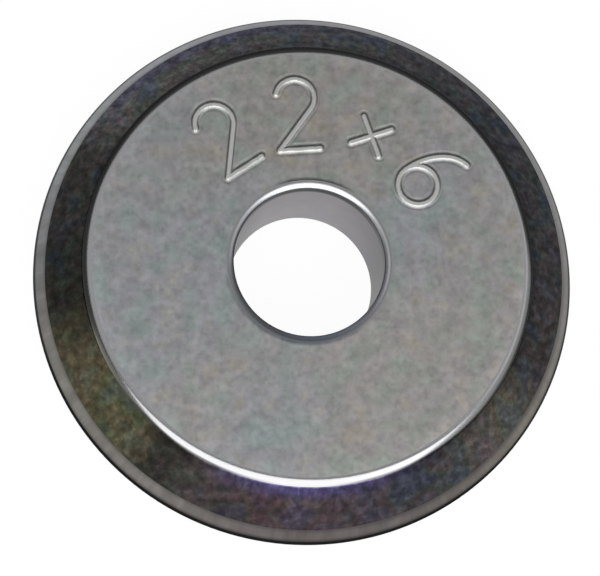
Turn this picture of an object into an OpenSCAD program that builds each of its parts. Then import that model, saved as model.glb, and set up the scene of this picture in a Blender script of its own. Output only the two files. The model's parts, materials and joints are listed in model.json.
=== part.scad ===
// Scoring wheel of a tile cutter: one solid disc of cemented carbide that
// turns on a plain axle. Its rim is ground in two steps on each side, a wide
// flank and a steeper edge bevel, which meet in a honed tip at mid thickness.
// The origin is the centre of the bore at mid thickness, and the bore runs
// along Z. Units are millimetres and degrees.

/* [Wheel] */
// Diameter over the honed tip
wheel_d = 22; // [18:0.5:30]
// Thickness from flat face to flat face
wheel_t = 5; // [4:0.1:6]

/* [Cutting rim] */
// Angle between the two edge bevels
edge_angle = 116; // [100:1:130]
// Width of each edge bevel, measured along the radius
edge_bevel_w = 0.5; // [0.3:0.05:0.6]
// Radius of the honed tip
tip_r = 0.05; // [0.02:0.01:0.1]
// Slope of each flank against the wheel's own plane
flank_angle = 46; // [35:1:55]
// Radius of the shoulder where a flank runs into its flat face
shoulder_r = 0.6; // [0.2:0.05:0.8]

/* [Bore] */
// Diameter of the axle that the wheel turns on
axle_d = 6; // [4:0.5:8]
// Running clearance on the axle's diameter
axle_clearance = 0.04; // [0.02:0.01:0.1]
// Radius pressed into the mouth at each end of the bore
mouth_r = 0.4; // [0.2:0.05:0.8]
// Slope of the mouth against the face where the ground bore cuts through it
mouth_slope = 50; // [30:5:80]

/* [Hidden] */
$fn = 96;

face_z = wheel_t / 2;
bore_r = (axle_d + axle_clearance) / 2;
bevel_slope = edge_angle / 2;

// Each point is [radius, height] in the upper half of the wheel's section.
tip_centre = [wheel_d / 2 - tip_r, 0];
tip_end = tip_centre + tip_r * [sin(bevel_slope), cos(bevel_slope)];

bevel_end_r = wheel_d / 2 - edge_bevel_w;
bevel_end = [bevel_end_r, tip_end[1] + (tip_end[0] - bevel_end_r) * tan(bevel_slope)];

// The flank's line would meet the flat face at shoulder_corner_r. The shoulder
// touches both lines at the same distance from that corner.
shoulder_corner_r = bevel_end[0] - (face_z - bevel_end[1]) / tan(flank_angle);
shoulder_centre = [shoulder_corner_r - shoulder_r * tan(flank_angle / 2), face_z - shoulder_r];
shoulder_face_end = [shoulder_centre[0], face_z];
shoulder_flank_end = shoulder_centre + shoulder_r * [sin(flank_angle), cos(flank_angle)];

// The bore is ground through the pressed radius, so the mouth is only the outer
// part of a quarter round and meets the wall at an edge.
mouth_centre = [bore_r + mouth_r * sin(mouth_slope), face_z - mouth_r];
mouth_face_end = [mouth_centre[0], face_z];
mouth_inner_end = [mouth_centre[0] - mouth_r, mouth_centre[1]];

upper_outline = [
    tip_end,
    bevel_end,
    shoulder_flank_end,
    shoulder_face_end,
    mouth_face_end,
    mouth_inner_end,
];

function mirrored(points) = [for (i = [len(points) - 1 : -1 : 0]) [points[i][0], -points[i][1]]];

// Section of the pressed blank on one side of the axis. The circles round the
// corners that the straight outline cuts off.
module blank_section() {
    polygon(concat(upper_outline, mirrored(upper_outline)));
    translate(tip_centre) circle(r = tip_r);
    for (side = [-1, 1]) {
        translate([shoulder_centre[0], side * shoulder_centre[1]]) circle(r = shoulder_r);
        translate([mouth_centre[0], side * mouth_centre[1]]) circle(r = mouth_r);
    }
}

// What is left of it once the bore is ground to size.
module section() {
    difference() {
        blank_section();
        translate([0, -wheel_t]) square([bore_r, 2 * wheel_t]);
    }
}

module cutting_wheel() {
    color([0.52, 0.53, 0.52])
        rotate_extrude()
            section();
}

cutting_wheel();
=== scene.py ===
# Scoring wheel of a tile cutter, lying on its lower face on a white floor.
# The wheel is one turned body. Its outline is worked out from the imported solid's
# box, its bore and the ground angles, and raised size numerals stand on the upper face.
# Sizes are in millimetres and angles in degrees until a mesh or a lamp is made.
import json
import math

import bpy
import numpy as np
from mathutils import Matrix, Vector


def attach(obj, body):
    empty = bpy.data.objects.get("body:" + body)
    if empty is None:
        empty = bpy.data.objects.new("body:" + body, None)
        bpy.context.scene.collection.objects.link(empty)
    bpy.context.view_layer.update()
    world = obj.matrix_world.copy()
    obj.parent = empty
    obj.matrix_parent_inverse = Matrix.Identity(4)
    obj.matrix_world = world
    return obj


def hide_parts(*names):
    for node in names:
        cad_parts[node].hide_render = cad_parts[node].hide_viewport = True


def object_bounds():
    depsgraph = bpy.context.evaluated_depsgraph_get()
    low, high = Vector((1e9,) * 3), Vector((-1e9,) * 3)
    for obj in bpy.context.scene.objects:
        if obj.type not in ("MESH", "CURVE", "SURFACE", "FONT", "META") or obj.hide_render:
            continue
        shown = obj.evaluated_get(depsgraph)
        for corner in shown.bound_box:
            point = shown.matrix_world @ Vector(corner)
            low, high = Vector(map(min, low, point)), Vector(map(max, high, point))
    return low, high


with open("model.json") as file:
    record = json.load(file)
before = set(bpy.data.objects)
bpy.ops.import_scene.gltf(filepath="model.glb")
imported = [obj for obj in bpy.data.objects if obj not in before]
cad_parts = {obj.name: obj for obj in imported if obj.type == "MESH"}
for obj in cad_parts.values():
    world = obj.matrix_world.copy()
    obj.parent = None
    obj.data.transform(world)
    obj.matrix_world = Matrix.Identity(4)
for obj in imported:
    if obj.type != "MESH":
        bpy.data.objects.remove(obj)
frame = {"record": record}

MM = 0.001
cad_low, cad_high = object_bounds()
bore_mount = next(mount for mount in frame["record"]["mounts"] if mount["name"] == "bore")

# Wheel
tip_reach = cad_high.x / MM
face_z = cad_high.z / MM
bore_r = bore_mount["dims"]["r_mm"]
edge_bevel_w = 0.5
bevel_slope = 58.0
flank_slope = 46.0
tip_r = 0.05
honed_w = 0.10
shoulder_r = 0.6
polished_tilt = 39.0
mouth_r = 0.4
mouth_slope = 50.0
mouth_w = mouth_r * math.sin(math.radians(mouth_slope))

# Mesh of the turned body
relief_inner_r = 4.2
relief_outer_r = 7.9
relief_step = 0.045
relief_azimuths = (20.0, 141.0)
plain_azimuth_step = 2.0
plain_face_points = 3

# Raised numerals: the nominal diameter and bore
mark_azimuths = {"two_a": 124.0, "two_b": 94.5, "times": 64.0, "six": 36.0}
mark_centre_r = 6.1
stroke_height = 0.05
stroke_top_half_w = 0.06
stroke_foot_half_w = 0.15
moat_depth = 0.010
moat_inner = 0.12
moat_outer = 0.28
slope_reach = 0.004

# Shares of the numerals' height between which the face's finish gives way to theirs
stroke_finish_span = (0.2, 0.8)

# Finishes, painted light and painted shade: radii between which one shade gives way to the next
painted_rim_sheen_span = (7.9, 8.6)
painted_mouth_shade_span = (3.35, 3.49)
shoulder_inner_span = (8.76, 8.92)
shoulder_outer_span = (8.90, 8.98)
flank_shade_span = (9.05, 9.45)
violet_span = (9.1, 9.6)
far_blue_span = (9.8, 10.3)
bevel_start_span = (10.46, 10.70)
painted_bevel_shade_span = (10.78, 10.90)

# Finishes: the edge bevel is ground a little off the axis, and its inner side wanders
bevel_axis = (0.06, 0.03)
bevel_wander = 0.08

# Painted light and shade: heights on the bore's wall, and shares of the mouth's width from the wall
# outwards
painted_shade_line_span = (1.75, 2.05)
bore_wall_span = (-1.8, 1.8)
mouth_lift_span = (0.40, 0.85)
mouth_rim_span = (0.5, 1.1)

WHITE = (1.0, 1.0, 1.0)

# Camera, fitted to the rim, shoulder and bore circles of the photograph
image_w = 600
image_px_per_mm = 24.492
camera_distance = 86.7
camera_tilt = 14.03
camera_lean = -21.54
origin_right_px = 4.33
origin_up_px = 12.98
sensor_w = 36.0
clip_near_m = 0.005
clip_far_m = 20.0

# Lamps
world_level = 0.12
key_level = 4.1
key_azimuth = 269.0
key_elevations = (9.0, 76.0)
key_half_width = 36.0
key_distance = 400.0
overhead_level = 1.04
overhead_azimuth = 90.0
overhead_distance = 500.0
overhead_elevations = (56.0, 96.0)
overhead_half_width = 36.0
left_card_level = 0.45
left_card_azimuth = 207.0
left_card_elevations = (3.0, 46.0)
left_card_half_width = 17.0
left_card_tint = (1.0, 0.98, 0.78)
right_card_level = 0.85
right_card_azimuth = 342.0
right_card_elevations = (25.0, 64.0)
right_card_half_width = 29.0
card_distance = 450.0
floor_glow = 0.96
floor_colour = (0.86, 0.86, 0.86, 1.0)
floor_size = 6000.0


def polar(radius, degrees):
    """Point at an angle on a circle round the origin."""
    return np.array([radius * math.cos(math.radians(degrees)), radius * math.sin(math.radians(degrees))])


def arc(centre, radius, start, end, count):
    """Points on an arc, from one angle to another."""
    return [np.array(centre) + polar(radius, a) for a in np.linspace(start, end, count)]


# Outline of the upper half of the section

def straight(zone, start, end, count):
    """A straight stretch of the outline, walked with the metal on its left."""
    start, end = np.array(start), np.array(end)
    along = (end - start) / np.linalg.norm(end - start)
    normal = np.array([along[1], -along[0]])
    points = [start + (end - start) * t for t in np.linspace(0, 1, count)]
    return {"zone": zone, "points": points, "normals": [normal] * count}


def rounded(zone, centre, radius, start, end, count):
    """A convex round stretch of the outline."""
    angles = np.linspace(start, end, count)
    return {
        "zone": zone,
        "points": [np.array(centre) + polar(radius, a) for a in angles],
        "normals": [polar(1, a) for a in angles],
    }


def upper_outline():
    """Stretches from the honed tip over the shoulder and the face to the middle of the bore."""
    slope = math.radians(bevel_slope)
    flank = math.radians(flank_slope)
    tip_centre = (tip_reach - tip_r, 0.0)
    tip_end = np.array(tip_centre) + polar(tip_r, 90 - bevel_slope)
    bevel_end = np.array([tip_reach - edge_bevel_w, 0.0])
    bevel_end[1] = tip_end[1] + (tip_end[0] - bevel_end[0]) * math.tan(slope)
    honed_share = (honed_w - (tip_reach - tip_end[0])) / (tip_end[0] - bevel_end[0])
    honed_end = tip_end + (bevel_end - tip_end) * honed_share
    corner_r = bevel_end[0] - (face_z - bevel_end[1]) / math.tan(flank)
    shoulder_centre = (corner_r - shoulder_r * math.tan(flank / 2), face_z - shoulder_r)
    shoulder_start = np.array(shoulder_centre) + polar(shoulder_r, 90 - flank_slope)
    shoulder_end = (shoulder_centre[0], face_z)
    mouth_centre = (bore_r + mouth_w, face_z - mouth_r)
    mouth_face_end = (mouth_centre[0], face_z)
    mouth_bore_end = np.array(mouth_centre) + polar(mouth_r, 90 + mouth_slope)
    relief_points = int(round((relief_outer_r - relief_inner_r) / relief_step)) + 1
    return [
        rounded("tip", tip_centre, tip_r, 0, 90 - bevel_slope, count=4),
        straight("tip", tip_end, honed_end, count=2),
        straight("edge_bevel", honed_end, bevel_end, count=3),
        straight("flank", bevel_end, shoulder_start, count=8),
        rounded("flank", shoulder_centre, shoulder_r, 90 - flank_slope, 90 - polished_tilt, count=4),
        rounded("shoulder", shoulder_centre, shoulder_r, 90 - polished_tilt, 90, count=13),
        straight("face", shoulder_end, (relief_outer_r, face_z), count=4),
        straight("face", (relief_outer_r, face_z), (relief_inner_r, face_z), count=relief_points),
        straight("face", (relief_inner_r, face_z), mouth_face_end, count=4),
        rounded("mouth", mouth_centre, mouth_r, 90, 90 + mouth_slope, count=11),
        straight("bore", mouth_bore_end, (bore_r, 0.0), count=3),
    ]


def lower_outline(upper):
    """The upper stretches mirrored, from the middle of the bore back to the tip."""
    lower = []
    for stretch in reversed(upper):
        count = len(stretch["points"])
        kept_count = plain_face_points if stretch["zone"] == "face" else count
        keep = np.linspace(0, count - 1, kept_count).round().astype(int)[::-1]
        lower.append({
            "zone": stretch["zone"],
            "points": [stretch["points"][i] * (1, -1) for i in keep],
            "normals": [stretch["normals"][i] * (1, -1) for i in keep],
        })
    return lower


# Raised numerals

def numeral_two():
    """One stroke: the bow, the diagonal and the foot."""
    bow_y, bow_r = 0.70, 0.78
    foot_y, foot_left, foot_right = -1.48, -0.80, 0.84
    bow = arc((0.0, bow_y), bow_r, 165, -38, count=22)
    return [bow + [np.array([foot_left, foot_y]), np.array([foot_right, foot_y])]]


def numeral_six():
    """Two strokes: the closed bowl and the tail that sweeps up from its left."""
    bowl_y, bowl_r = -0.68, 0.80
    tail_x, tail_reach = 0.68, (1.48, 2.16)
    bowl = arc((0.0, bowl_y), bowl_r, 0, 360, count=37)
    tail_turn = arc((0.0, 0.0), 1.0, 180, 97, count=18)
    tail = [np.array([tail_x, bowl_y]) + point * tail_reach for point in tail_turn]
    return [bowl, tail]


def times_sign():
    """Two crossed strokes, smaller than the numerals and on the same line."""
    reach, middle_y = 0.62, -0.3
    low, high = middle_y - reach, middle_y + reach
    return [
        [np.array([-reach, low]), np.array([reach, high])],
        [np.array([-reach, high]), np.array([reach, low])],
    ]


def placed(strokes, azimuth):
    """Turns strokes so that their tops point to the rim at an azimuth."""
    up = polar(1, azimuth)
    right = np.array([up[1], -up[0]])
    return [[up * (mark_centre_r + p[1]) + right * p[0] for p in stroke] for stroke in strokes]


def all_strokes():
    """The four glyphs of the mark, each in its place on the face."""
    glyphs = {"two_a": numeral_two(), "two_b": numeral_two(), "times": times_sign(), "six": numeral_six()}
    strokes = []
    for name, glyph in glyphs.items():
        strokes += placed(glyph, mark_azimuths[name])
    return strokes


def distance_to_strokes(xy, strokes):
    """Distance from each point to the nearest stroke's middle line."""
    nearest = np.full(len(xy), np.inf)
    for stroke in strokes:
        for a, b in zip(stroke[:-1], stroke[1:]):
            ab = b - a
            t = np.clip(((xy - a) @ ab) / (ab @ ab), 0, 1)
            nearest = np.minimum(nearest, np.linalg.norm(xy - a - t[:, None] * ab, axis=1))
    return nearest


def relief_height(xy, strokes):
    """Rounded strokes, each in a shallow moat."""
    d = distance_to_strokes(xy, strokes)
    fall = np.clip((d - stroke_top_half_w) / (stroke_foot_half_w - stroke_top_half_w), 0, 1)
    bead = stroke_height * (0.5 + 0.5 * np.cos(np.pi * fall))
    share = np.clip((d - moat_inner) / (moat_outer - moat_inner), 0, 1)
    return bead - moat_depth * np.sin(np.pi * share) ** 2


def relief_slope(xy, strokes):
    """Slope of the relief along x and y."""
    east, north = np.array([slope_reach, 0]), np.array([0, slope_reach])
    dx = relief_height(xy + east, strokes) - relief_height(xy - east, strokes)
    dy = relief_height(xy + north, strokes) - relief_height(xy - north, strokes)
    return np.stack([dx, dy], axis=1) / (2 * slope_reach)


# Turned body

def azimuth_samples():
    """Close together across the numerals and further apart elsewhere."""
    start, end = relief_azimuths
    fine_step = math.degrees(relief_step / mark_centre_r)
    fine = np.linspace(start, end, int((end - start) / fine_step) + 1)
    coarse = np.linspace(end, start + 360, int((start + 360 - end) / plain_azimuth_step) + 1)
    return np.radians(np.concatenate([fine, coarse[1:-1]]))


def closed_rings(outline):
    """The outline's ring points, and the zone and normals from each ring to the next."""
    rings, zones, normals = [], [], []
    for stretch in outline:
        for i in range(len(stretch["points"]) - 1):
            rings.append(stretch["points"][i])
            zones.append(stretch["zone"])
            normals.append((stretch["normals"][i], stretch["normals"][i + 1]))
    return np.array(rings), zones, normals


def carries_relief(ring):
    """True for a ring on the upper face that may cross a numeral."""
    return ring[1] == face_z and relief_inner_r <= ring[0] <= relief_outer_r


def wheel_mesh():
    """A closed lathe mesh whose corner normals are those of the exact outline."""
    upper = upper_outline()
    rings, zones, ring_normals = closed_rings(upper + lower_outline(upper))
    azimuths = azimuth_samples()
    turn = np.stack([np.cos(azimuths), np.sin(azimuths)], axis=1)
    ring_count, columns = len(rings), len(azimuths)

    xy = rings[:, None, :1] * turn[None, :, :]
    z = np.repeat(rings[:, 1:2], columns, axis=1)
    slope = np.zeros((ring_count, columns, 2))
    strokes = all_strokes()
    on_face = [i for i, ring in enumerate(rings) if carries_relief(ring)]
    flat_xy = xy[on_face].reshape(-1, 2)
    height = relief_height(flat_xy, strokes).reshape(len(on_face), columns)
    z[on_face] += height
    slope[on_face] = relief_slope(flat_xy, strokes).reshape(len(on_face), columns, 2)

    points = np.concatenate([xy, z[:, :, None]], axis=2).reshape(-1, 3) * MM
    j = np.arange(columns)
    j_next = (j + 1) % columns
    quads, normals, materials = [], [], []
    for i in range(ring_count):
        k = (i + 1) % ring_count
        here, there = ring_normals[i]
        corners = ((i, here, j), (i, here, j_next), (k, there, j_next), (k, there, j))
        quads.append(np.stack([ring * columns + column for ring, _, column in corners], axis=1))
        turned = []
        for ring, normal, column in corners:
            n = np.concatenate([turn[column] * normal[0], np.full((columns, 1), normal[1])], axis=1)
            if zones[i] == "face" and normal[1] > 0:
                n[:, :2] -= slope[ring, column]
            turned.append(n / np.linalg.norm(n, axis=1)[:, None])
        normals.append(np.stack(turned, axis=1))
        materials.append(np.full(columns, list(ZONE_METALS).index(zones[i])))

    mesh = bpy.data.meshes.new("wheel_body")
    mesh.from_pydata(points.tolist(), [], np.concatenate(quads).tolist())
    mesh.polygons.foreach_set("material_index", np.concatenate(materials).astype(np.int32))
    mesh.polygons.foreach_set("use_smooth", np.ones(len(mesh.polygons), dtype=bool))
    mesh.update()
    mesh.normals_split_custom_set(np.concatenate(normals).reshape(-1, 3).tolist())
    raised = np.zeros((ring_count, columns), np.float32)
    raised[on_face] = height / stroke_height
    layer = mesh.attributes.new("raised", "FLOAT", "POINT")
    layer.data.foreach_set("value", raised.ravel())
    return mesh


# Materials

class Nodes:
    """Short calls for building one metal's node tree."""

    def __init__(self, name):
        self.material = bpy.data.materials.new(name)
        self.material.use_nodes = True
        self.tree = self.material.node_tree
        self.shader = self.tree.nodes["Principled BSDF"]

    def add(self, kind, **settings):
        node = self.tree.nodes.new(kind)
        for key, value in settings.items():
            setattr(node, key, value)
        return node

    def link(self, source, target):
        self.tree.links.new(source, target)

    def math(self, operation, a, b=0.0, c=0.0):
        node = self.add("ShaderNodeMath", operation=operation)
        for socket, value in zip(node.inputs, (a, b, c)):
            if isinstance(value, (int, float)):
                socket.default_value = value
            else:
                self.link(value, socket)
        return node.outputs[0]

    def vector(self, operation, place, other=(0.0, 0.0, 0.0), output="Vector"):
        """One step of vector arithmetic on a place."""
        node = self.add("ShaderNodeVectorMath", operation=operation)
        self.link(place, node.inputs[0])
        node.inputs[1].default_value = other
        return node.outputs[output]

    def scaled(self, place, scale):
        """A place scaled about the origin."""
        node = self.add("ShaderNodeVectorMath", operation="SCALE")
        node.inputs["Scale"].default_value = scale
        self.link(place, node.inputs[0])
        return node.outputs[0]

    def parts(self, place):
        """The three parts of a place."""
        split = self.add("ShaderNodeSeparateXYZ")
        self.link(place, split.inputs[0])
        return split.outputs

    def joined(self, x, y, z):
        """A place or colour made from three parts."""
        node = self.add("ShaderNodeCombineXYZ")
        for socket, value in zip(node.inputs, (x, y, z)):
            self.link(value, socket)
        return node.outputs[0]

    def grey(self, value):
        """A value as a colour with three equal parts."""
        return self.joined(value, value, value)

    def millimetres(self):
        """Place on the object in millimetres."""
        place = self.add("ShaderNodeTexCoord")
        return self.scaled(place.outputs["Object"], 1 / MM)

    def height(self):
        """Height in millimetres over the wheel's mid plane."""
        return self.parts(self.millimetres())[2]

    def radius(self, centre=(0.0, 0.0)):
        """Distance in millimetres from the axis, or from a line beside it."""
        moved = self.vector("SUBTRACT", self.millimetres(), other=(*centre, 0.0))
        flat = self.vector("MULTIPLY", moved, other=(1.0, 1.0, 0.0))
        return self.vector("LENGTH", flat, output="Value")

    def azimuth_share(self):
        """Azimuth as a share of a turn, from 0 on the -X side round by -Y to 1 on the -X side again."""
        x, y, _ = self.parts(self.millimetres())
        angle = self.math("ARCTAN2", y, x)
        return self.math("MULTIPLY_ADD", angle, 0.5 / math.pi, 0.5)

    def round_the_axis(self, around, along):
        """A seamless place: its first two parts follow the azimuth and its third the radius."""
        flat = self.vector("MULTIPLY", self.millimetres(), other=(1.0, 1.0, 0.0))
        unit = self.vector("NORMALIZE", flat)
        x, y, _ = self.parts(self.scaled(unit, around))
        length = self.vector("LENGTH", flat, output="Value")
        return self.joined(x, y, self.math("MULTIPLY", length, along))

    def step(self, value, span, low=0.0, high=1.0):
        """Smooth change from one value to another over a span."""
        node = self.add("ShaderNodeMapRange", interpolation_type="SMOOTHSTEP")
        settings = {"From Min": span[0], "From Max": span[1], "To Min": low, "To Max": high}
        for name, setting in settings.items():
            node.inputs[name].default_value = setting
        self.link(value, node.inputs["Value"])
        return node.outputs[0]

    def noise(self, place, scale, detail, roughness):
        node = self.add("ShaderNodeTexNoise")
        node.inputs["Scale"].default_value = scale
        node.inputs["Detail"].default_value = detail
        node.inputs["Roughness"].default_value = roughness
        self.link(place, node.inputs["Vector"])
        return node.outputs["Fac"]

    def ramp(self, factor, stops):
        """Colours at given places of a factor, with even changes between them."""
        node = self.add("ShaderNodeValToRGB")
        elements = node.color_ramp.elements
        while len(elements) < len(stops):
            elements.new(0.5)
        for element, (position, colour) in zip(elements, stops):
            element.position = position
            element.color = (*colour, 1.0)
        self.link(factor, node.inputs[0])
        return node.outputs[0]

    def grey_ramp(self, factor, stops):
        return self.ramp(factor, [(place, (share, share, share)) for place, share in stops])

    def round_ramp(self, stops):
        """A colour that changes with the azimuth only."""
        return self.ramp(self.azimuth_share(), stops)

    def window(self, stops):
        """A share that changes with the azimuth only."""
        return self.grey_ramp(self.azimuth_share(), stops)

    def mix(self, factor, a, b, blend="MIX"):
        node = self.add("ShaderNodeMix", data_type="RGBA", blend_type=blend)
        for socket, value in ((node.inputs[0], factor), (node.inputs[6], a), (node.inputs[7], b)):
            if isinstance(value, (int, float)):
                socket.default_value = value
            elif isinstance(value, tuple):
                socket.default_value = (*value, 1.0)
            else:
                self.link(value, socket)
        return node.outputs[2]

    def times(self, colour, *others):
        """A colour multiplied by others."""
        for other in others:
            colour = self.mix(1.0, colour, other, "MULTIPLY")
        return colour

    def bump(self, height, distance_mm, strength):
        node = self.add("ShaderNodeBump")
        node.inputs["Strength"].default_value = strength
        node.inputs["Distance"].default_value = distance_mm * MM
        self.link(height, node.inputs["Height"])
        self.link(node.outputs[0], self.shader.inputs["Normal"])

    def metal(self, colour, roughness, edge_tint):
        """Finishes the shader and gives its material."""
        self.link(colour, self.shader.inputs["Base Color"])
        self.shader.inputs["Metallic"].default_value = 1.0
        self.shader.inputs["Roughness"].default_value = roughness
        self.shader.inputs["Specular Tint"].default_value = (edge_tint, edge_tint, edge_tint, 1.0)
        return self.material


def painted_mouth_shade(n):
    """Painted shade round the outside of the bore's mouth, widest on the near side, and a painted dark
    line on its far side.
    """
    return n.round_ramp([
        (0.00, (1.00, 1.00, 1.00)),
        (0.06, (0.79, 0.80, 0.82)),
        (0.12, (0.58, 0.59, 0.62)),
        (0.22, (0.45, 0.48, 0.56)),
        (0.28, (0.50, 0.55, 0.66)),
        (0.33, (0.62, 0.67, 0.73)),
        (0.39, (0.88, 0.89, 0.90)),
        (0.45, (1.00, 1.00, 1.00)),
        (0.65, (1.00, 1.00, 1.00)),
        (0.69, (0.32, 0.32, 0.32)),
        (0.74, (0.26, 0.26, 0.26)),
        (0.79, (0.36, 0.36, 0.36)),
        (0.83, (1.00, 1.00, 1.00)),
    ])


def face_metal():
    """Satin sintered face: soft tinted blotches, a fine grain, paler raised strokes, a painted sheen
    towards the rim and painted shade round the bore's mouth.
    """
    n = Nodes("carbide_face")
    place = n.millimetres()
    radius = n.radius()
    tint = n.ramp(n.noise(place, scale=0.8, detail=2.0, roughness=0.5), [
        (0.34, (0.201, 0.223, 0.216)),
        (0.45, (0.213, 0.222, 0.216)),
        (0.55, (0.222, 0.216, 0.226)),
        (0.66, (0.234, 0.226, 0.210)),
    ])
    cloud = n.grey_ramp(n.noise(place, scale=1.9, detail=2.0, roughness=0.5), [
        (0.30, 0.88),
        (0.50, 1.00),
        (0.70, 1.12),
    ])
    grain = n.grey_ramp(n.noise(place, scale=4.6, detail=1.5, roughness=0.45), [
        (0.25, 0.83),
        (0.50, 1.00),
        (0.75, 1.10),
    ])
    wide = n.ramp(n.noise(place, scale=0.16, detail=1.0, roughness=0.5), [
        (0.38, (0.97, 1.0, 1.035)),
        (0.62, (1.03, 1.005, 0.965)),
    ])
    # Painted sheen: the face lighter towards its rim.
    painted_rim_sheen = n.grey(n.step(radius, painted_rim_sheen_span, low=1.0, high=1.10))
    # Painted shade round the outside of the bore's mouth.
    round_the_mouth = n.mix(n.step(radius, painted_mouth_shade_span), painted_mouth_shade(n), WHITE)
    sintered = n.times(tint, cloud, grain, wide, painted_rim_sheen, round_the_mouth)

    raised = n.add("ShaderNodeAttribute", attribute_name="raised").outputs["Fac"]
    on_stroke = n.add("ShaderNodeMapRange")
    on_stroke.inputs["From Min"].default_value = stroke_finish_span[0]
    on_stroke.inputs["From Max"].default_value = stroke_finish_span[1]
    n.link(raised, on_stroke.inputs["Value"])
    stroke_colour = (0.35, 0.355, 0.345)
    colour = n.mix(on_stroke.outputs[0], sintered, stroke_colour)
    n.bump(n.noise(place, scale=4.0, detail=3.0, roughness=0.6), distance_mm=0.006, strength=0.3)
    return n.metal(colour, roughness=0.48, edge_tint=0.9)


def shoulder_metal():
    """Fillet between face and flank, smoother than the face; painted shade darkens its inner part away
    from the key lamp, and painted highlight and shade change its outer part round the wheel.
    """
    n = Nodes("carbide_shoulder")
    radius = n.radius()
    painted_far_shade = n.window([
        (0.00, 0.85),
        (0.05, 1.00),
        (0.38, 1.00),
        (0.44, 0.70),
        (0.58, 0.54),
        (0.90, 0.58),
        (0.97, 0.85),
    ])
    painted_highlight_crescent = n.window([
        (0.00, 1.20),
        (0.035, 1.40),
        (0.056, 1.90),
        (0.085, 1.15),
        (0.12, 0.35),
        (0.18, 0.22),
        (0.23, 0.95),
        (0.26, 0.95),
        (0.29, 0.38),
        (0.345, 0.60),
        (0.39, 1.60),
        (0.42, 1.80),
        (0.45, 1.35),
        (0.50, 0.85),
        (0.56, 0.50),
        (0.93, 0.62),
        (1.00, 1.20),
    ])
    fillet_colour = (0.23, 0.23, 0.235)
    # Painted shade on the inner part and painted highlight and shade on the outer part of the fillet.
    inner_part = n.mix(n.step(radius, shoulder_inner_span), WHITE, painted_far_shade)
    outer_part = n.mix(n.step(radius, shoulder_outer_span), WHITE, painted_highlight_crescent)
    return n.metal(n.times(fillet_colour, inner_part, outer_part), roughness=0.20, edge_tint=0.3)


def flank_metal():
    """Ground and polished flank: dark, with soft mottling, painted reflections that change round the
    wheel, a painted violet fringe along the shoulder's highlight and painted shade under the shoulder.
    """
    n = Nodes("carbide_flank")
    place = n.round_the_axis(around=10.0, along=1.2)
    radius = n.radius()
    dark = (0.027, 0.028, 0.028)
    # Painted reflections: colours and brighter and darker stretches that change with the azimuth.
    painted_reflection_round = n.round_ramp([
        (0.00, dark),
        (0.03, (0.034, 0.036, 0.029)),
        (0.06, (0.130, 0.125, 0.085)),
        (0.12, (0.150, 0.152, 0.110)),
        (0.16, (0.055, 0.053, 0.054)),
        (0.19, (0.040, 0.034, 0.036)),
        (0.24, (0.078, 0.057, 0.066)),
        (0.29, (0.067, 0.061, 0.074)),
        (0.35, (0.092, 0.090, 0.094)),
        (0.40, (0.098, 0.090, 0.074)),
        (0.43, (0.044, 0.042, 0.044)),
        (0.60, (0.039, 0.041, 0.047)),
        (0.75, (0.060, 0.062, 0.068)),
        (0.89, (0.076, 0.078, 0.080)),
        (0.93, (0.032, 0.032, 0.032)),
        (1.00, dark),
    ])
    speckle = n.ramp(n.noise(place, scale=0.8, detail=1.0, roughness=0.4), [
        (0.32, (0.87, 0.99, 1.18)),
        (0.42, (0.95, 1.05, 0.91)),
        (0.52, (1.11, 0.95, 0.92)),
        (0.62, (0.95, 1.01, 1.05)),
        (0.72, (1.12, 0.93, 1.07)),
    ])
    mottle = n.grey_ramp(n.noise(place, scale=3.0, detail=3.0, roughness=0.6), [
        (0.30, 0.52),
        (0.50, 0.95),
        (0.72, 1.72),
    ])
    under_shoulder = n.window([
        (0.00, 0.95),
        (0.10, 1.00),
        (0.14, 0.60),
        (0.45, 0.70),
        (0.90, 0.75),
        (0.98, 0.95),
    ])
    inner_shade = n.mix(n.step(radius, flank_shade_span), under_shoulder, WHITE)
    tint = n.times(painted_reflection_round, speckle, inner_shade)

    # Painted violet fringe along the shoulder's highlight, only where the key lamp lights it.
    violet = (0.076, 0.066, 0.155)
    violet_stretch = n.window([(0.17, 0.0), (0.21, 0.5), (0.24, 1.0), (0.28, 0.6), (0.36, 0.0)])
    violet_share = n.math("MULTIPLY", violet_stretch, n.step(radius, violet_span, low=1.0, high=0.0))
    tint = n.mix(violet_share, tint, violet)
    blue = (0.062, 0.061, 0.094)
    blue_stretch = n.window([(0.68, 0.0), (0.78, 0.8), (0.86, 0.8), (0.92, 0.0)])
    blue_share = n.math("MULTIPLY", blue_stretch, n.step(radius, far_blue_span))
    tint = n.mix(blue_share, tint, blue)
    n.bump(n.noise(place, scale=2.6, detail=2.0, roughness=0.5), distance_mm=0.01, strength=0.12)
    return n.metal(n.times(tint, mottle), roughness=0.21, edge_tint=0.5)


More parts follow.
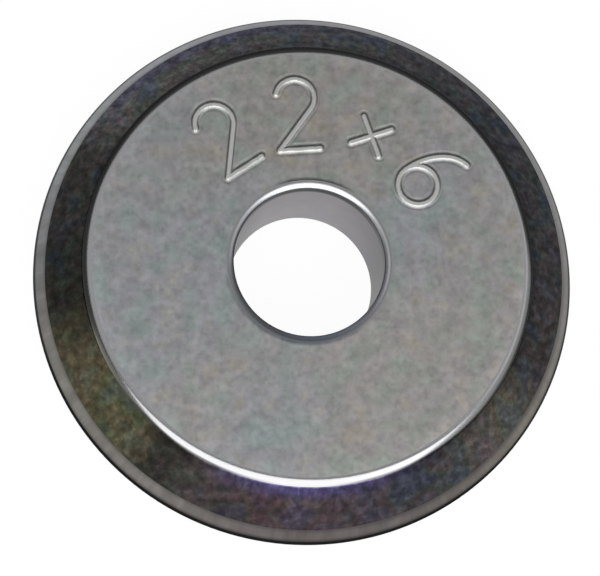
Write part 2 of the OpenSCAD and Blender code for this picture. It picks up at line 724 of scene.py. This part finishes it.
def edge_bevel_metal():
    """Light ground edge bevel with fine marks, duller inside, with painted reflections and shade that
    change round the wheel and, on the near side, painted shade at its outer side.
    """
    n = Nodes("carbide_edge_bevel")
    marks = n.round_the_axis(around=11.0, along=0.4)
    ground = n.ramp(n.noise(marks, scale=1.6, detail=3.0, roughness=0.6), [
        (0.30, (0.108, 0.106, 0.104)),
        (0.50, (0.138, 0.135, 0.135)),
        (0.72, (0.178, 0.180, 0.182)),
    ])
    # Painted reflections and shade: tints and brighter and darker stretches round the bevel.
    tint = n.round_ramp([
        (0.00, (1.00, 1.00, 1.03)),
        (0.06, (1.35, 1.32, 1.20)),
        (0.14, (1.35, 1.28, 1.20)),
        (0.23, (0.90, 0.82, 0.80)),
        (0.33, (0.82, 0.75, 0.72)),
        (0.40, (1.15, 1.05, 0.88)),
        (0.50, (0.96, 0.93, 0.88)),
        (0.56, (0.72, 0.73, 0.74)),
        (0.64, (0.50, 0.52, 0.56)),
        (0.70, (0.62, 0.64, 0.78)),
        (0.76, (0.89, 0.92, 1.26)),
        (0.92, (1.38, 1.48, 1.52)),
        (1.00, (1.00, 1.00, 1.03)),
    ])
    # Painted shade along the bevel's outer side, darkest on the near side.
    painted_edge_shade = n.window([
        (0.00, 1.00),
        (0.06, 0.75),
        (0.10, 0.60),
        (0.14, 0.42),
        (0.34, 0.40),
        (0.39, 0.80),
        (0.43, 0.60),
        (0.47, 0.70),
        (0.55, 1.00),
    ])
    outer_shade = n.mix(n.step(n.radius(), painted_bevel_shade_span), WHITE, painted_edge_shade)
    bevel = n.times(ground, tint, outer_shade)

    unground = (0.060, 0.054, 0.051)
    wandering = n.noise(n.round_the_axis(around=3.0, along=0.0), scale=1.5, detail=3.0, roughness=0.6)
    wander = n.math("MULTIPLY_ADD", wandering, bevel_wander, -bevel_wander / 2)
    place = n.math("ADD", n.radius(bevel_axis), wander)
    return n.metal(n.mix(n.step(place, bevel_start_span), unground, bevel), roughness=0.34, edge_tint=1.0)


def tip_metal():
    """Honed line along the very tip, coloured with painted shade that is darkest on the near side."""
    n = Nodes("carbide_tip")
    # Painted shade along the tip, darkest on the near side.
    painted_edge_shade = n.window([
        (0.00, 0.055),
        (0.07, 0.013),
        (0.36, 0.013),
        (0.48, 0.060),
        (0.60, 0.110),
        (0.88, 0.130),
        (1.00, 0.055),
    ])
    return n.metal(painted_edge_shade, roughness=0.3, edge_tint=0.5)


def mouth_metal():
    """Rounded mouth of the bore, coloured with painted light and shade: a painted highlight near the edge
    with the ground wall, a painted dark line at that edge, painted shade on either side and painted light
    on the near side.
    """
    n = Nodes("carbide_mouth")
    share = n.math("MULTIPLY_ADD", n.radius(), 1 / mouth_w, -bore_r / mouth_w)
    # Painted highlight and shade across the mouth, with a painted dark line at the wall.
    painted_light_across_mouth = n.ramp(share, [
        (0.00, (0.045, 0.045, 0.050)),
        (0.16, (0.370, 0.380, 0.415)),
        (0.42, (0.350, 0.355, 0.380)),
        (0.62, (0.190, 0.190, 0.195)),
        (0.76, (0.150, 0.150, 0.152)),
        (0.90, (0.190, 0.190, 0.192)),
        (1.00, (0.205, 0.205, 0.207)),
    ])
    # Painted light on the inner part of the mouth's near side.
    painted_near_light = n.round_ramp([
        (0.05, (1.00, 1.00, 1.00)),
        (0.17, (1.15, 1.20, 1.25)),
        (0.22, (1.40, 1.55, 1.75)),
        (0.28, (1.60, 1.85, 2.15)),
        (0.33, (2.00, 2.10, 2.30)),
        (0.39, (1.95, 1.95, 2.05)),
        (0.50, (1.85, 1.90, 1.85)),
        (0.58, (1.20, 1.20, 1.20)),
        (0.66, (1.00, 1.00, 1.00)),
    ])
    near_side = n.window([(0.45, 1.0), (0.50, 0.0), (0.95, 0.0), (1.0, 1.0)])
    # Painted shade round the mouth's outer edge on its near side.
    near_rim = n.mix(near_side, WHITE, painted_mouth_shade(n))
    inner_part = n.mix(n.step(share, mouth_lift_span), painted_near_light, WHITE)
    outer_part = n.mix(n.step(share, mouth_rim_span), WHITE, near_rim)
    return n.metal(n.times(painted_light_across_mouth, inner_part, outer_part), roughness=0.32, edge_tint=0.4)


def bore_metal():
    """Ground wall of the bore, with painted shade everywhere but on its far side, painted light towards
    its bottom and a painted dark line under its mouth.
    """
    n = Nodes("carbide_bore")
    height = n.height()
    ground = n.ramp(n.noise(n.millimetres(), scale=1.2, detail=2.0, roughness=0.5), [
        (0.35, (0.25, 0.245, 0.265)),
        (0.65, (0.28, 0.265, 0.27)),
    ])
    # Painted shade: the wall darker everywhere but on its far side.
    painted_side_shade = n.window([
        (0.00, 0.62),
        (0.40, 0.58),
        (0.52, 0.62),
        (0.62, 0.92),
        (0.70, 1.08),
        (0.84, 1.08),
        (0.92, 0.70),
        (1.00, 0.62),
    ])
    # Painted light: the wall brighter towards its bottom.
    downward = n.grey(n.step(height, bore_wall_span, low=1.12, high=0.98))
    # Painted shade: a dark line on the wall just under the mouth.
    painted_shade_line_colour = (0.02, 0.02, 0.021)
    painted_shade_line_strength = n.window([
        (0.40, 0.3),
        (0.50, 0.4),
        (0.60, 0.8),
        (0.66, 1.0),
        (0.85, 1.0),
        (0.92, 0.7),
        (1.00, 0.3),
    ])
    line = n.math("MULTIPLY", n.step(height, painted_shade_line_span), painted_shade_line_strength)
    wall = n.times(ground, painted_side_shade, downward)
    return n.metal(n.mix(line, wall, painted_shade_line_colour), roughness=0.42, edge_tint=0.8)


ZONE_METALS = {
    "face": face_metal,
    "shoulder": shoulder_metal,
    "flank": flank_metal,
    "edge_bevel": edge_bevel_metal,
    "tip": tip_metal,
    "mouth": mouth_metal,
    "bore": bore_metal,
}


def make_wheel():
    """The dressed wheel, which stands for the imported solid."""
    mesh = wheel_mesh()
    for make_metal in ZONE_METALS.values():
        mesh.materials.append(make_metal())
    wheel = bpy.data.objects.new("wheel_body", mesh)
    bpy.context.scene.collection.objects.link(wheel)
    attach(wheel, "root")
    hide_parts("cutting_wheel")


# Stage, lamps and camera

def floor_material():
    """White floor that stays white to the eye and to the metal, and keeps the wheel's shadow."""
    material = bpy.data.materials.new("floor_white")
    material.use_nodes = True
    tree = material.node_tree
    tree.nodes.clear()
    path = tree.nodes.new("ShaderNodeLightPath")
    seen = path.outputs["Is Camera Ray"]
    for ray in ("Is Glossy Ray", "Is Transmission Ray"):
        either = tree.nodes.new("ShaderNodeMath")
        either.operation = "MAXIMUM"
        tree.links.new(seen, either.inputs[0])
        tree.links.new(path.outputs[ray], either.inputs[1])
        seen = either.outputs[0]
    share = tree.nodes.new("ShaderNodeMath")
    share.operation = "MULTIPLY"
    share.inputs[1].default_value = floor_glow
    tree.links.new(seen, share.inputs[0])
    diffuse = tree.nodes.new("ShaderNodeBsdfDiffuse")
    diffuse.inputs["Color"].default_value = floor_colour
    glow = tree.nodes.new("ShaderNodeEmission")
    glow.inputs["Strength"].default_value = 1.0
    blend = tree.nodes.new("ShaderNodeMixShader")
    tree.links.new(share.outputs[0], blend.inputs[0])
    tree.links.new(diffuse.outputs[0], blend.inputs[1])
    tree.links.new(glow.outputs[0], blend.inputs[2])
    output = tree.nodes.new("ShaderNodeOutputMaterial")
    tree.links.new(blend.outputs[0], output.inputs["Surface"])
    return material


def make_floor():
    half = floor_size / 2 * MM
    z = cad_low.z
    corners = [(-half, -half, z), (half, -half, z), (half, half, z), (-half, half, z)]
    mesh = bpy.data.meshes.new("floor")
    mesh.from_pydata(corners, [], [(0, 1, 2, 3)])
    mesh.materials.append(floor_material())
    floor = bpy.data.objects.new("floor", mesh)
    bpy.context.scene.collection.objects.link(floor)


def make_world():
    world = bpy.data.worlds.new("studio")
    bpy.context.scene.world = world
    world.use_nodes = True
    background = world.node_tree.nodes["Background"]
    background.inputs["Color"].default_value = (*WHITE, 1.0)
    background.inputs["Strength"].default_value = world_level


def soft_box(name, azimuth, elevations, half_width, distance, level, colour=WHITE):
    """A soft box that faces the wheel, spans the given angles and shows it an even brightness."""
    low, high = elevations
    elevation = (low + high) / 2
    lamp = bpy.data.lights.new(name, "AREA")
    lamp.shape = "RECTANGLE"
    lamp.size = 2 * distance * math.tan(math.radians(half_width)) * MM
    lamp.size_y = 2 * distance * math.tan(math.radians((high - low) / 2)) * MM
    lamp.energy = level * math.pi * lamp.size * lamp.size_y
    lamp.color = colour
    box = bpy.data.objects.new(name, lamp)
    bpy.context.scene.collection.objects.link(box)
    flat = polar(math.cos(math.radians(elevation)), azimuth)
    away = Vector((flat[0], flat[1], math.sin(math.radians(elevation))))
    box.location = away * distance * MM
    box.rotation_euler = away.to_track_quat("Z", "Y").to_euler()


def make_lamps():
    soft_box("key_light", key_azimuth, key_elevations, key_half_width, key_distance, key_level)
    soft_box(
        "overhead_light",
        overhead_azimuth,
        overhead_elevations,
        overhead_half_width,
        overhead_distance,
        overhead_level,
    )
    soft_box(
        "left_card",
        left_card_azimuth,
        left_card_elevations,
        left_card_half_width,
        card_distance,
        left_card_level,
        left_card_tint,
    )
    soft_box(
        "right_card",
        right_card_azimuth,
        right_card_elevations,
        right_card_half_width,
        card_distance,
        right_card_level,
    )


def make_camera():
    """Looks at the origin from the fitted place. The shift moves it to its place in the picture."""
    toward = Vector((*polar(1, camera_lean - 90), 0.0))
    tilt = math.radians(camera_tilt)
    back = toward * math.sin(tilt) + Vector((0, 0, math.cos(tilt)))
    painted_light_across_mouth = Vector((-toward.y, toward.x, 0.0))
    upward = toward * math.cos(tilt) - Vector((0, 0, math.sin(tilt)))
    right = upward * toward.x - painted_light_across_mouth * toward.y
    up = upward * toward.y + painted_light_across_mouth * toward.x
    camera_data = bpy.data.cameras.new("camera")
    camera_data.sensor_width = sensor_w
    camera_data.sensor_fit = "HORIZONTAL"
    camera_data.lens = image_px_per_mm * camera_distance / image_w * sensor_w
    camera_data.shift_x = -origin_right_px / image_w
    camera_data.shift_y = -origin_up_px / image_w
    camera_data.clip_start = clip_near_m
    camera_data.clip_end = clip_far_m
    camera = bpy.data.objects.new("camera", camera_data)
    bpy.context.scene.collection.objects.link(camera)
    place = Matrix((right, up, back)).transposed().to_4x4()
    place.translation = back * camera_distance * MM
    camera.matrix_world = place
    bpy.context.scene.camera = camera


make_wheel()
make_floor()
make_world()
make_lamps()
make_camera()
bpy.context.scene.view_settings.view_transform = "Standard"
